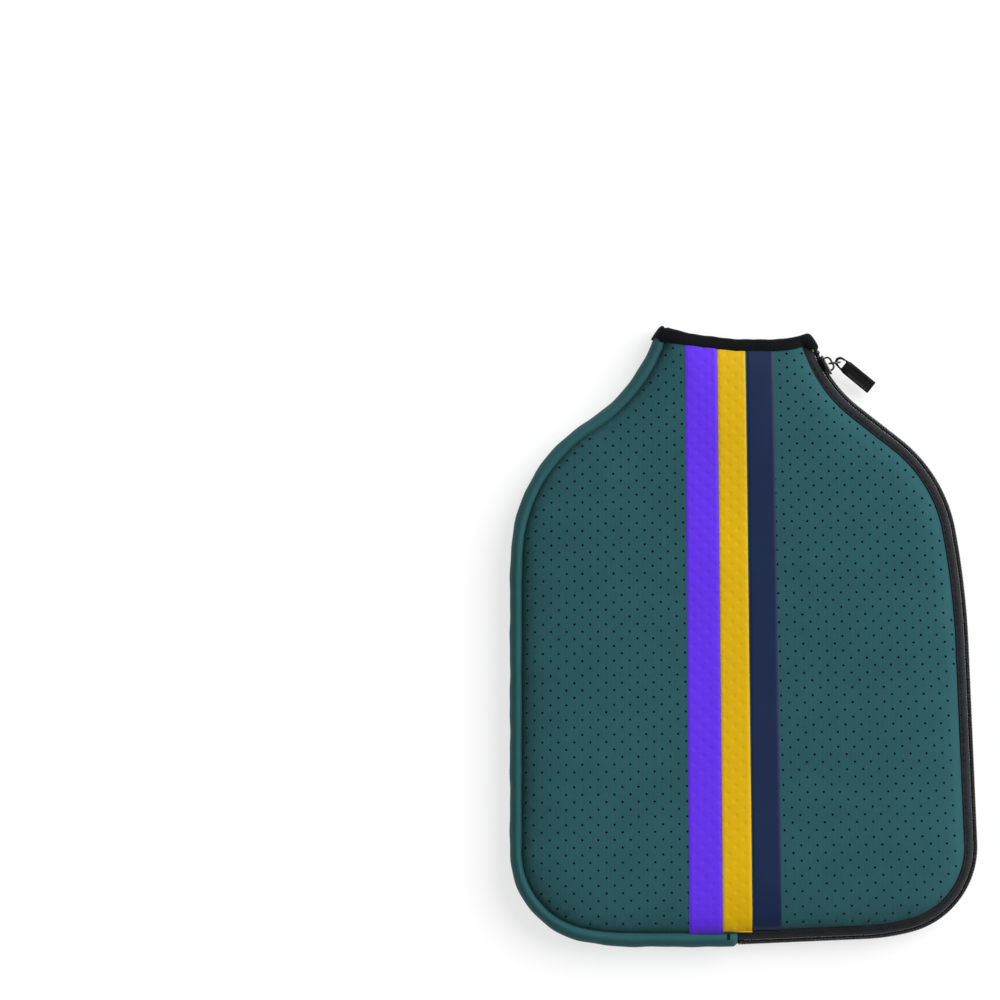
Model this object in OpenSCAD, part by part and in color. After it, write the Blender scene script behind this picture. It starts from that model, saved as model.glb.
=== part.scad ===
// Neoprene paddle case, lying on its back: +X across, +Y towards the neck, +Z out of the front panel.
// The origin is under the middle of the case, on the surface that it lies on.
// Both side edges are chains of straight and round stretches that start at the zip's lower end.

/* [Case] */
// Height of the front panel's face above the back panel's
case_t = 19; // [16:0.5:24]
// Thickness of the neoprene panels and the side band
panel_t = 3; // [2:0.1:3.5]
// Thickness of the lining cloth
lining_t = 0.4; // [0.2:0.1:0.6]
// How far the lower edge lies below the middle of the case
foot_y = 146.2; // [140:0.1:150]
// Where the band ends and the zip begins, left of the middle
join_x = 3; // [1:0.5:6]

/* [Band edge] */
// Straight lower edge, left of the zip's end
band_base = 47.8; // [44:0.1:50]
// Radius and turn of the soft bend before the corner
band_ease_r = 129.3; // [120:0.1:140]
band_ease_turn = 10.7; // [9:0.1:12]
// Radius of the lower corner
band_corner_r = 43.3; // [38:0.1:48]
// Straight side
band_side = 123.6; // [118:0.1:128]
// Radius and turn of the slow lean inwards
band_lean_r = 313; // [280:1:340]
band_lean_turn = 3.6; // [3:0.1:4.5]
// Radius and turn of the shoulder
band_shoulder_r = 75.5; // [70:0.5:80]
band_shoulder_turn = 54.3; // [52:0.1:56]
// Radius and turn of the hollow below the neck
band_neck_r = 77.8; // [72:0.1:84]
band_neck_turn = 42; // [40:0.1:44]
// Width of the band that shows beside the panel
band_show = 5.2; // [4.5:0.1:7]

/* [Zip edge] */
// Heading of the lower edge at the join
zip_rise = 2.5; // [1:0.1:3.5]
// Straight lower edge
zip_base = 60.1; // [56:0.1:64]
// Radius and turn of the soft bend before the corner
zip_ease_r = 106; // [96:1:116]
zip_ease_turn = 12.1; // [10:0.1:14]
// Radius and turn of the lower corner
zip_corner_r = 41.6; // [38:0.1:46]
zip_corner_turn = 77.9; // [76:0.1:79]
// Straight side
zip_side = 93.3; // [90:0.1:98]
// Radius and turn of the slow lean inwards
zip_lean_r = 385; // [350:1:420]
zip_lean_turn = 8.2; // [7:0.1:9]
// Radius and turn of the shoulder
zip_shoulder_r = 70.3; // [66:0.1:74]
zip_shoulder_turn = 41.3; // [40:0.1:42.5]
// Straight slope below the shoulder
zip_slope = 25; // [22:0.5:28]
// Radius and turn of the hollow that the slider runs along
zip_neck_r = 60; // [56:1:64]
zip_neck_turn = 36.8; // [35:0.1:38]
// Width of the tape that shows beside the panel
tape_show = 6.6; // [5.5:0.1:8]

/* [Neck] */
// Left and right ends of the neck's rim, and their height above the middle of the case
neck_left = [-40, 146.4];
neck_right = [34, 142.2];
// Radius of the rim's sag
neck_r = 165; // [120:5:220]
// Width of the binding
binding_w = 5.6; // [4:0.1:8]
// Thickness of the binding cloth on each side of the panel
binding_t = 0.5; // [0.3:0.1:0.8]

/* [Stripes] */
// Thickness of a stripe
stripe_t = 0.4; // [0.2:0.1:0.8]
// Widths of the purple, yellow and navy stripes
stripe_w = [15, 12.9, 12.4]; // [11:0.1:15.2]
// How much wider each stripe is at the lower edge
stripe_spread = 0.7; // [0:0.1:0.8]
// Left edge of each stripe at the neck, and how far it has moved to the right at the lower edge
stripe_x = [-27.8, -12.4, 1.5]; // [-28:0.1:4]
stripe_shift = [2, 2.8, 3.3]; // [1:0.1:4]

/* [Zip] */
// Depth of the row of teeth from the outer edge inwards
coil_d = 2.2; // [1.8:0.1:2.6]
// Height of one row of teeth
coil_h = 2; // [1.5:0.1:2.4]
// Gap between the two rows, where the slider's web runs
coil_gap = 1; // [0.8:0.1:1.2]
// Thickness of the tape
tape_t = 1; // [0.6:0.1:1]

/* [Slider] */
// Length of the slider's body along the zip
slider_l = 10; // [8:0.5:12]
// Height of its plates
slider_h = 9; // [7:0.5:10]
// Distance along the zip from the neck to the slider's middle
slider_rest = 13.5; // [11:0.5:16]
// Room between the outer plate and the teeth
slider_room = 0.4; // [0.3:0.1:1.2]
// Thickness of the plates
plate_t = 0.9; // [0.8:0.1:1.4]

/* [Pull] */
// Radius of the ring to the middle of its wire, and the wire's radius
ring_r = 2.6; // [2.4:0.1:3]
wire_r = 0.45; // [0.35:0.05:0.5]
// Which way the ring and the tab point, seen from the front
ring_aim = 7; // [0:1:20]
tab_aim = -39; // [-45:1:-30]
// How far the tab droops towards the surface below
tab_droop = 12; // [0:1:14]
// Length, width and thickness of the tab
tab_l = 22; // [18:0.5:24]
tab_w = 6.4; // [5.5:0.1:7]
tab_t = 2; // [1.4:0.1:2.2]
// Radius of the tab's eye
eye_r = 1.3; // [1.1:0.05:1.5]

/* [Hidden] */
$fn = 48;
// Turn between two points along a round stretch
bend_step = 5;
// Half of the gap at the fold line, and the reach of the cutting shapes
fold_gap = 0.15;
far = 200;
// The panels and the band are pressed thinner inside the binding
pressed_t = panel_t - 2 * binding_t;
mid_z = case_t / 2;
teal = "#2d5a5d";
band_teal = "#34696c";
black = "#17171a";
charcoal = "#2d2b30";

band_start = [-join_x, -foot_y, 180];
band_chain = [[band_base, 0], [band_ease_r, -band_ease_turn],
    [band_corner_r, band_ease_turn - 90], [band_side, 0], [band_lean_r, -band_lean_turn],
    [band_shoulder_r, -band_shoulder_turn], [band_neck_r, band_neck_turn]];
zip_start = [-join_x, 1 - foot_y, zip_rise];
zip_chain = [[zip_base, 0], [zip_ease_r, zip_ease_turn], [zip_corner_r, zip_corner_turn],
    [zip_side, 0], [zip_lean_r, zip_lean_turn], [zip_shoulder_r, zip_shoulder_turn],
    [zip_slope, 0], [zip_neck_r, -zip_neck_turn]];

// A place on an edge is [x, y, heading]. A stretch is [length, 0] or [radius, turn], left turns positive.
function on(from, way, part) = way[1] == 0
    ? [from.x + way[0] * part * cos(from.z), from.y + way[0] * part * sin(from.z), from.z]
    : let (side = sign(way[1]), to = from.z + way[1] * part)
        [from.x + side * way[0] * (sin(to) - sin(from.z)),
         from.y - side * way[0] * (cos(to) - cos(from.z)), to];
function walk(from, chain, i = 0) = i == len(chain) ? [from]
    : let (n = max(1, ceil(abs(chain[i][1]) / bend_step)))
        concat([for (k = [0 : n - 1]) on(from, chain[i], k / n)],
               walk(on(from, chain[i], 1), chain, i + 1));
function shifted(path, d) = [for (p = path) [p.x - d * sin(p.z), p.y + d * cos(p.z)]];
function reversed(list) = [for (i = [len(list) - 1 : -1 : 0]) list[i]];

band_path = walk(band_start, band_chain);
zip_path = walk(zip_start, zip_chain);
function band_line(d) = shifted(band_path, -d);
function zip_line(d) = shifted(zip_path, d);

// The neck's rim sags on one arc between its two ends
neck_mid = (neck_left + neck_right) / 2;
neck_half = norm(neck_right - neck_left) / 2;
neck_lean = atan2(neck_right.y - neck_left.y, neck_right.x - neck_left.x);
neck_centre = neck_mid + sqrt(neck_r * neck_r - neck_half * neck_half)
    * [-sin(neck_lean), cos(neck_lean)];
function neck_line(drop) = [for (a = [-18 : 2 : 18])
    neck_centre + (neck_r + drop) * [sin(a + neck_lean), -cos(a + neck_lean)]];

// The flap folds along a line from the zip's lower end to the left end of the neck
fold_foot = [-join_x, -foot_y];
fold_head = [-37.5, 147];
fold_way = (fold_head - fold_foot) / norm(fold_head - fold_foot);
fold_side = [fold_way.y, -fold_way.x];
fold_z = case_t + stripe_t;

// The slider turns about the centre of the hollow stretch of the zip edge
neck_bend = zip_path[len(zip_path) - 1 - ceil(zip_neck_turn / bend_step)];
slider_centre = [neck_bend.x + zip_neck_r * sin(neck_bend.z),
    neck_bend.y - zip_neck_r * cos(neck_bend.z)];
zip_end = zip_path[len(zip_path) - 1];
slider_aim = zip_end.z + 90 + slider_rest / zip_neck_r * 180 / PI;
slider_span = slider_l / zip_neck_r * 180 / PI;
outer_plate = [zip_neck_r - slider_room - plate_t, zip_neck_r - slider_room];
inner_plate = [zip_neck_r + coil_d + tape_t + 0.4, zip_neck_r + coil_d + tape_t + 1.4];
bridge_window = 2;
bridge_bar = 0.9;
bridge_h = 2;
bridge_l = 7.2;
window_r = outer_plate[0] - bridge_window / 2;
window_at = slider_centre + window_r * [cos(slider_aim), sin(slider_aim)];
eye_at = window_at + 2 * ring_r * [cos(ring_aim), sin(ring_aim)];

module under_neck(drop) {
    rim = neck_line(drop);
    last = rim[len(rim) - 1];
    polygon(concat(rim, [[far, last.y], [far, -far], [-far, -far], [-far, rim[0].y]]));
}
module neck_strip(top, low) {
    difference() {
        under_neck(top);
        under_neck(low);
    }
}
// The whole outline, drawn in from the band edge and from the zip edge
module outline(from_band, from_zip) {
    polygon(concat(reversed(band_line(from_band)), zip_line(from_zip)));
}
module band_strip(outer, inner) {
    polygon(concat(band_line(outer), reversed(band_line(inner))));
}
module zip_strip(outer, inner) {
    intersection() {
        polygon(concat(zip_line(outer), reversed(zip_line(inner))));
        translate([0.2, -far]) square([far, 2 * far]);
    }
}
module flap_side() {
    near = fold_gap * fold_side;
    polygon([fold_foot - far * fold_way + near, fold_head + far * fold_way + near,
        [2 * far, far], [2 * far, -far]]);
}
module shell_side() {
    near = -fold_gap * fold_side;
    polygon([fold_foot - far * fold_way + near, fold_head + far * fold_way + near,
        [-2 * far, far], [-2 * far, -far]]);
}
module slab(low, high) {
    translate([0, 0, low]) linear_extrude(high - low) children();
}
// A panel: full thickness below the binding, pressed thin inside it
module panel(low) {
    slab(low, low + panel_t) intersection() {
        outline(band_show, tape_show);
        under_neck(binding_w);
    }
    slab(low + binding_t, low + binding_t + pressed_t) intersection() {
        outline(band_show, tape_show);
        neck_strip(1, binding_w);
    }
}
module lining(low) {
    slab(low, low + lining_t) intersection() {
        outline(band_show + 0.4, tape_show + 0.4);
        under_neck(binding_w + 0.2);
    }
}
// A stripe, numbered from the left, with straight sides that lean a little
module stripe(number, foot_cut) {
    top = [stripe_x[number], 140];
    foot = [top.x + stripe_shift[number], -foot_y + foot_cut];
    width = stripe_w[number];
    slab(case_t, case_t + stripe_t) intersection() {
        polygon([foot, top, top + [width, 0], foot + [width + stripe_spread, 0]]);
        under_neck(binding_w + 0.1);
        outline(band_show + 1, tape_show + 0.6);
    }
}
module binding(low) {
    slab(low, low + panel_t) intersection() {
        neck_strip(0, binding_w);
        outline(0, 0);
    }
}
// The binding grips the pressed edge, so a slot of that thickness is left in it
module gripped_binding(low) {
    difference() {
        binding(low);
        panel(low);
    }
}
module tape(low, high, wall_low, wall_high) {
    intersection() {
        union() {
            slab(low, high) zip_strip(coil_d, tape_show);
            slab(wall_low, wall_high) zip_strip(coil_d, coil_d + tape_t);
        }
        slab(-1, case_t + 1) under_neck(binding_w + 0.1);
    }
}
module coil(low) {
    slab(low, low + coil_h) intersection() {
        zip_strip(0, coil_d);
        under_neck(binding_w + 0.3);
    }
}
// A stretch of the slider's arc: inner and outer radius, heights, length along the zip and its middle
module arc_block(r, z, length, middle = 0) {
    span = length / zip_neck_r * 180 / PI;
    offset_a = middle / zip_neck_r * 180 / PI;
    translate(slider_centre) rotate([0, 0, slider_aim + offset_a - span / 2])
        rotate_extrude(angle = span, $fn = 180)
            translate([r[0], z[0]]) square([r[1] - r[0], z[1] - z[0]]);
}
module top_stop(low) {
    arc_block([zip_neck_r - 0.5, zip_neck_r - 0.1], [low, low + coil_h], 2, -slider_l / 2 - 1.6);
}

module back_panel() { color(teal) panel(0); }
module back_lining() { color(charcoal) lining(panel_t); }
module side_band() {
    color(band_teal) intersection() {
        difference() {
            slab(1, case_t - 1) band_strip(0, band_show);
            slab(1 + panel_t, case_t - 1 - panel_t) band_strip(panel_t, band_show + 1);
        }
        slab(0, case_t) under_neck(binding_w + 0.1);
    }
}
module band_folded_end() {
    color(band_teal) slab(1 + panel_t + 0.1, case_t - 1.1 - panel_t) intersection() {
        band_strip(panel_t + 0.05, panel_t + 2);
        translate([-join_x - 8, -far]) square([8, far]);
    }
}
module band_bar_tack() {
    color(charcoal) translate([-join_x - 2.4, -foot_y + 2.5, case_t - 1]) cube([0.8, 1.6, 0.3]);
}
module front_panel_left() {
    color(teal) intersection() {
        panel(case_t - panel_t);
        slab(0, far) shell_side();
    }
}
module front_panel_flap() {
    color(teal) intersection() {
        panel(case_t - panel_t);
        slab(0, far) flap_side();
    }
}
module front_lining_left() {
    color(charcoal) intersection() {
        lining(case_t - panel_t - lining_t);
        slab(0, far) shell_side();
    }
}
module front_lining_flap() {
    color(charcoal) intersection() {
        lining(case_t - panel_t - lining_t);
        slab(0, far) flap_side();
    }
}
module purple_stripe_left() {
    color("#673ceb") intersection() {
        stripe(0, 7.2);
        slab(0, far) shell_side();
    }
}
module purple_stripe_flap() {
    color("#673ceb") intersection() {
        stripe(0, 7.2);
        slab(0, far) flap_side();
    }
}
module yellow_stripe_left() {
    color("#d7af00") intersection() {
        stripe(1, 7.2);
        slab(0, far) shell_side();
    }
}
module yellow_stripe_flap() {
    color("#d7af00") intersection() {
        stripe(1, 7.2);
        slab(0, far) flap_side();
    }
}
module navy_stripe() { color("#233055") stripe(2, 8.7); }
// The back binding also closes round the band's end, up to the fold line on the front
module neck_binding_back() {
    color(black) {
        gripped_binding(0);
        slab(panel_t, case_t - panel_t) intersection() {
            neck_strip(0, binding_w);
            band_strip(0, 4);
        }
        intersection() {
            gripped_binding(case_t - panel_t);
            slab(0, far) shell_side();
        }
    }
}
module neck_binding_front() {
    color(black) intersection() {
        gripped_binding(case_t - panel_t);
        slab(0, far) flap_side();
    }
}
module zip_tape_back() {
    color(charcoal) tape(1, 2, 1, mid_z - coil_gap / 2 - 0.1);
}
module zip_tape_front() {
    color(charcoal) tape(case_t - 2, case_t - 1, mid_z + coil_gap / 2 + 0.1, case_t - 1);
}
module zip_coil_back() { color(black) coil(mid_z - coil_gap / 2 - coil_h); }
module zip_coil_front() { color(black) coil(mid_z + coil_gap / 2); }
module top_stop_back() { color(black) top_stop(mid_z - coil_gap / 2 - coil_h); }
module top_stop_front() { color(black) top_stop(mid_z + coil_gap / 2); }
module bottom_stop() {
    color(black) translate([-join_x + 0.3, 1.2 - foot_y, mid_z - 3]) cube([2.4, 3, 6]);
}
// Two plates, one on each side of the teeth, joined by a thin web between the rows
module slider_body() {
    plates = [mid_z - slider_h / 2, mid_z + slider_h / 2];
    color(black) union() {
        arc_block(outer_plate, plates, slider_l);
        arc_block(inner_plate, plates, slider_l);
        arc_block([outer_plate[1] - 0.1, inner_plate[0] + 0.1], [mid_z - 0.2, mid_z + 0.2],
            slider_l - 2);
    }
}
module slider_bridge() {
    heights = [mid_z - bridge_h / 2, mid_z + bridge_h / 2];
    bar = [outer_plate[0] - bridge_window - bridge_bar, outer_plate[0] - bridge_window];
    post = [bar[0], outer_plate[0]];
    color(black) union() {
        arc_block(bar, heights, bridge_l);
        for (side = [-1, 1])
            arc_block(post, heights, 1.3, side * (bridge_l - 1.3) / 2);
    }
}
module pull_ring() {
    middle = window_at + ring_r * [cos(ring_aim), sin(ring_aim)];
    color(black) translate([middle.x, middle.y, mid_z]) rotate([90, 0, ring_aim])
        rotate_extrude($fn = 48) translate([ring_r, 0]) circle(wire_r, $fn = 24);
}
module pull_tab() {
    head_r = eye_r + 1.2;
    color(black) translate([eye_at.x, eye_at.y, mid_z])
        rotate([0, tab_droop, tab_aim]) difference() {
            translate([0, 0, -tab_t / 2]) linear_extrude(tab_t) union() {
                circle(head_r);
                translate([0, -head_r]) square([4, 2 * head_r]);
                polygon([[2, -head_r], [4, -tab_w / 2], [tab_l - head_r, -tab_w / 2],
                    [tab_l - head_r, tab_w / 2], [4, tab_w / 2], [2, head_r]]);
            }
            cylinder(h = 4 * tab_t, r = eye_r, center = true);
        }
}

back_panel();
back_lining();
side_band();
band_folded_end();
band_bar_tack();
front_panel_left();
front_lining_left();
purple_stripe_left();
yellow_stripe_left();
neck_binding_back();
zip_tape_back();
zip_coil_back();
top_stop_back();
bottom_stop();
front_panel_flap();
front_lining_flap();
purple_stripe_flap();
yellow_stripe_flap();
navy_stripe();
neck_binding_front();
zip_tape_front();
zip_coil_front();
top_stop_front();
slider_body();
slider_bridge();
pull_ring();
pull_tab();
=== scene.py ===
import math

import bmesh
import bpy
import numpy as np
from mathutils import Matrix, Vector
from mathutils.bvhtree import BVHTree
from mathutils.geometry import delaunay_2d_cdt

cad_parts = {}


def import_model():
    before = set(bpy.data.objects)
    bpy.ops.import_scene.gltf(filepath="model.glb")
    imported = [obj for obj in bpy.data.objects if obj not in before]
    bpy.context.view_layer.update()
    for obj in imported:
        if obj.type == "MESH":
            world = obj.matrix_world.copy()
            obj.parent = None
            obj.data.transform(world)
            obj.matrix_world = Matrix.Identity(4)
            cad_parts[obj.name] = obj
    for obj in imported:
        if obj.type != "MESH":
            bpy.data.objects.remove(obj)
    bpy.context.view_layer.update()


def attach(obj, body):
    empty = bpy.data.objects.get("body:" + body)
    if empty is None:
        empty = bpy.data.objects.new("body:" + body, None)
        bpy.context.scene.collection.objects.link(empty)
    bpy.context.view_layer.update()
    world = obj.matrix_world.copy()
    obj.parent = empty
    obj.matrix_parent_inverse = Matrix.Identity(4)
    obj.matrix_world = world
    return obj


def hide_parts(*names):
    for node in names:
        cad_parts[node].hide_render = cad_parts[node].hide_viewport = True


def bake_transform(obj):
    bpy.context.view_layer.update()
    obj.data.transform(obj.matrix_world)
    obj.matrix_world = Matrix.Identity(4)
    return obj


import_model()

# Shapes are worked out in millimetres, in the frame's own axes, and scaled to metres when a mesh is made.
MM = 0.001

# ---------------------------------------------------------------- the outline, as the frame has it

FOOT_Y = -146.2
JOIN_X = -3.0
BAND_SHOW = 5.8
FOOT_WIDER = 1.1
TAPE_SHOW = 6.6
# A stretch is (length, 0) or (radius, turn in degrees); left turns are positive
BAND_CHAIN = [(47.8, 0), (129.3, -10.7), (43.3, -79.3), (123.6, 0), (313, -3.6), (75.5, -54.3), (77.8, 42)]
ZIP_CHAIN = [(60.1, 0), (106, 12.1), (41.6, 77.9), (93.3, 0), (385, 8.2), (70.3, 41.3), (25, 0), (60, -36.8)]
NECK_ENDS = (np.array([-40, 146.4]), np.array([34, 142.2]))
NECK_R = 165
BINDING_W = 5.6
MID_Z = 9.5
FACE_Z = 19.0
PANEL_T = 3.0


def walk(start, chain, step):
    """Stations (x, y, heading) about every step millimetres along the chain."""
    x, y, heading = start
    out = [(x, y, heading)]
    for size, turn in chain:
        length = size if turn == 0 else size * math.radians(abs(turn))
        count = max(1, round(length / step))
        for k in range(1, count + 1):
            part = k / count
            if turn == 0:
                a = math.radians(heading)
                out.append((x + size * part * math.cos(a), y + size * part * math.sin(a), heading))
                continue
            side = math.copysign(1, turn)
            a, b = math.radians(heading), math.radians(heading + turn * part)
            out.append((x + side * size * (math.sin(b) - math.sin(a)),
                        y - side * size * (math.cos(b) - math.cos(a)), heading + turn * part))
        x, y, heading = out[-1]
    return np.array(out)


def shifted(path, d):
    """The path's points, moved d millimetres to the left of its heading."""
    a = np.radians(path[:, 2])
    return np.stack([path[:, 0] - d * np.sin(a), path[:, 1] + d * np.cos(a)], 1)


def band_path(step):
    return walk((JOIN_X, FOOT_Y, 180), BAND_CHAIN, step)


def zip_path(step):
    return walk((JOIN_X, FOOT_Y + 1, 2.5), ZIP_CHAIN, step)


def band_show(path):
    """How much of the band shows from above: more along the foot (heading 180) than up the side."""
    return BAND_SHOW + FOOT_WIDER * np.clip((path[:, 2] - 105) / 75, 0, 1)


def band_half(path):
    """Half the width of the band's round section, which curls in a little past the panel's edge."""
    return 0.61 * band_show(path)


def lengths(path):
    """How far along the path each station is."""
    return np.concatenate([[0], np.cumsum(np.linalg.norm(np.diff(path[:, :2], axis=0), axis=1))])


def stations_at(s, steps, path):
    """Stations at the lengths s along a path whose own stations are at the lengths steps."""
    return np.stack([np.interp(s, steps, path[:, k]) for k in range(3)], 1)


def line_distance(points, line):
    """Distance of each point to a polyline."""
    best = np.full(len(points), 1e9)
    for a, b in zip(line[:-1], line[1:]):
        way = b - a
        part = np.clip(((points - a) @ way) / max(way @ way, 1e-9), 0, 1)
        best = np.minimum(best, np.linalg.norm(points - a - part[:, None] * way, axis=1))
    return best


def edge_distance(points, loop):
    """Distance of each point to a closed loop."""
    return line_distance(points, np.concatenate([loop, loop[:1]]))


def side_distance(points):
    """Distance of each point to the seams at the two sides and the foot, but not to the neck."""
    left = band_path(3)
    seam = np.concatenate([shifted(left, -band_show(left))[::-1], shifted(zip_path(3), TAPE_SHOW)])
    return line_distance(points, seam)


neck_half = np.linalg.norm(NECK_ENDS[1] - NECK_ENDS[0]) / 2
neck_lean = math.atan2(*(NECK_ENDS[1] - NECK_ENDS[0])[::-1])
neck_centre = sum(NECK_ENDS) / 2 + math.sqrt(NECK_R ** 2 - neck_half ** 2) * np.array(
    [-math.sin(neck_lean), math.cos(neck_lean)])


def neck_y(x, drop=0.0):
    """Height of the neck's rim over x, lowered by drop."""
    return neck_centre[1] - np.sqrt((NECK_R + drop) ** 2 - (x - neck_centre[0]) ** 2)


def outline(inset, drop, step):
    """The closed outline that far inside the seams, counter-clockwise from the join.

    It runs along the zip, the neck, lowered by drop, and the band.
    """
    right = shifted(zip_path(step), TAPE_SHOW + inset)
    left = band_path(step)
    left = shifted(left, -band_show(left) - inset)
    right = right[right[:, 1] < neck_y(right[:, 0], drop) - 0.3 * step]
    left = left[left[:, 1] < neck_y(left[:, 0], drop) - 0.3 * step]
    count = max(2, round((right[-1, 0] - left[-1, 0]) / step))
    xs = np.linspace(right[-1, 0], left[-1, 0], count + 1)
    neck = np.stack([xs, neck_y(xs, drop)], 1)
    return np.concatenate([right, neck[:-1] if len(neck) > 2 else neck, left[::-1]])


def inside(points, loop):
    """True for each point inside a closed loop."""
    hit = np.zeros(len(points), bool)
    for a, b in zip(loop, np.roll(loop, -1, 0)):
        crosses = (a[1] > points[:, 1]) != (b[1] > points[:, 1])
        with np.errstate(divide="ignore", invalid="ignore"):
            at = a[0] + (points[:, 1] - a[1]) / (b[1] - a[1]) * (b[0] - a[0])
        hit ^= crosses & (points[:, 0] < at)
    return hit


# ---------------------------------------------------------------- mesh helpers

SHARP = 45


def make(name, verts, faces, material):
    """A mesh object from points in millimetres, smooth but for edges sharper than SHARP degrees."""
    mesh = bpy.data.meshes.new(name)
    mesh.from_pydata([tuple(v) for v in np.asarray(verts, float) * MM], [], [tuple(f) for f in faces])
    mesh.validate()
    bm = bmesh.new()
    bm.from_mesh(mesh)
    bmesh.ops.recalc_face_normals(bm, faces=bm.faces)
    bm.to_mesh(mesh)
    bm.free()
    mesh.shade_smooth()
    mesh.set_sharp_from_angle(angle=math.radians(SHARP))
    obj = bpy.data.objects.new(name, mesh)
    bpy.context.scene.collection.objects.link(obj)
    obj.data.materials.append(material)
    return obj


def triangulate(loop, rings, inner):
    """Triangles inside the loop, outside the rings, through the inner points.

    Returns points, faces, the loop's point numbers and each ring's.
    """
    points = [Vector(p) for p in loop]
    edges = [(i, (i + 1) % len(loop)) for i in range(len(loop))]
    ring_ids = []
    for ring in rings:
        first = len(points)
        points += [Vector(p) for p in ring]
        ring_ids.append(list(range(first, first + len(ring))))
        edges += [(first + i, first + (i + 1) % len(ring)) for i in range(len(ring))]
    points += [Vector(p) for p in inner]
    verts, _, faces, origins, _, _ = delaunay_2d_cdt(points, edges, [], 1, 1e-6)
    new_id = {}
    for i, ids in enumerate(origins):
        for k in ids:
            new_id[k] = i
    co = np.array([tuple(v) for v in verts])
    ring_of = np.full(len(co), -1)
    ring_ids = [[new_id[k] for k in ids] for ids in ring_ids]
    for r, ids in enumerate(ring_ids):
        ring_of[ids] = r
    tris = np.array(faces)
    own = ring_of[tris]
    in_ring = (own[:, 0] >= 0) & (own[:, 0] == own[:, 1]) & (own[:, 1] == own[:, 2])
    return co, tris[~in_ring], [new_id[i] for i in range(len(loop))], ring_ids


def grid_points(loop, spacing, clear_edge, holes=(), clear_hole=0.0):
    """Staggered points inside the loop, clear of its edge and of the holes."""
    low, high = loop.min(0), loop.max(0)
    rows = np.arange(low[1], high[1], spacing * 0.87)
    out = []
    for i, y in enumerate(rows):
        xs = np.arange(low[0] + (i % 2) * spacing / 2, high[0], spacing)
        out.append(np.stack([xs, np.full(len(xs), y)], 1))
    out = np.concatenate(out)
    out = out[inside(out, loop)]
    out = out[edge_distance(out, loop) > clear_edge]
    if len(holes):
        near = np.array([np.min(np.sum((holes - p) ** 2, 1)) for p in out])
        out = out[near > clear_hole ** 2]
    return out


def tube_faces(rows, cols, first=0):
    """Quads between rows of closed profiles, whose points are numbered from first."""
    out = []
    for r in range(rows - 1):
        for c in range(cols):
            a, b = first + r * cols + c, first + r * cols + (c + 1) % cols
            out.append((a, b, b + cols, a + cols))
    return out


def end_faces(rows, cols, first=0):
    """The faces that close the first and the last profile."""
    last = first + (rows - 1) * cols
    return [tuple(range(first, first + cols)), tuple(reversed(range(last, last + cols)))]


def sweep(name, profiles, material, endless=False):
    """A skin over a row of closed profiles, with a face at each end, or else the ends joined."""
    profiles = np.asarray(profiles, float)
    rows, cols = profiles.shape[:2]
    faces = tube_faces(rows, cols)
    if endless:
        last = (rows - 1) * cols
        faces += [(last + c, last + (c + 1) % cols, (c + 1) % cols, c) for c in range(cols)]
    else:
        faces += end_faces(rows, cols)
    return make(name, profiles.reshape(-1, 3), faces, material)


def along(path, d, z):
    """Points beside each station, at offsets d and heights z, with one value each per profile point."""
    a = np.radians(path[:, 2])[:, None]
    d, z = np.atleast_2d(d), np.atleast_2d(z)
    x = path[:, 0][:, None] - d * np.sin(a)
    y = path[:, 1][:, None] + d * np.cos(a)
    return np.stack([x, y, np.broadcast_to(z, x.shape)], 2)


def tube(points, radius, sides):
    """Rings of points round a polyline, as profiles for sweep."""
    points = np.asarray(points, float)
    way = np.gradient(points, axis=0)
    way /= np.linalg.norm(way, axis=1)[:, None]
    up = np.array([0.0, 0.0, 1.0])
    side = np.cross(way, up)
    weak = np.linalg.norm(side, axis=1) < 1e-3
    side[weak] = np.cross(way[weak], np.array([1.0, 0.0, 0.0]))
    side /= np.linalg.norm(side, axis=1)[:, None]
    over = np.cross(side, way)
    turn = np.linspace(0, 2 * math.pi, sides, endpoint=False)
    return (points[:, None] + radius * (np.cos(turn)[None, :, None] * side[:, None]
            + np.sin(turn)[None, :, None] * over[:, None]))


# ---------------------------------------------------------------- materials

def nodes_of(name):
    material = bpy.data.materials.new(name)
    material.use_nodes = True
    tree = material.node_tree
    return material, tree, tree.nodes["Principled BSDF"]


def add(tree, kind, **values):
    """A node; values name its inputs, and properties where no input has that name."""
    node = tree.nodes.new(kind)
    for key, value in values.items():
        if key in node.inputs:
            node.inputs[key].default_value = value
        else:
            setattr(node, key, value)
    return node


def srgb(r, g, b):
    """Linear colour of 0-255 values."""
    def line(c):
        c /= 255
        return c / 12.92 if c <= 0.04045 else ((c + 0.055) / 1.055) ** 2.4
    return (line(r), line(g), line(b), 1.0)


def scaled(colour, k):
    return tuple(min(1.0, c * k) for c in colour[:3]) + (1.0,)


def surface(name, colour, size, spread, detail=4.0, **sockets):
    """A material whose colour drifts about the given one, with patches of that size in metres.

    The rest are sockets of the shader, with _ for a space in their names.
    """
    material, tree, shader = nodes_of(name)
    coords = add(tree, "ShaderNodeTexCoord").outputs["Object"]
    noise = add(tree, "ShaderNodeTexNoise", Scale=1 / size, Detail=detail, Roughness=0.6)
    tree.links.new(coords, noise.inputs["Vector"])
    ramp = add(tree, "ShaderNodeValToRGB")
    ramp.color_ramp.elements[0].position = 0.3
    ramp.color_ramp.elements[0].color = scaled(colour, 1 - spread)
    ramp.color_ramp.elements[1].position = 0.7
    ramp.color_ramp.elements[1].color = scaled(colour, 1 + spread)
    tree.links.new(noise.outputs["Fac"], ramp.inputs["Fac"])
    tree.links.new(ramp.outputs["Color"], shader.inputs["Base Color"])
    for key, value in sockets.items():
        shader.inputs[key.replace("_", " ")].default_value = value
    return material, tree, shader, coords


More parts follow.
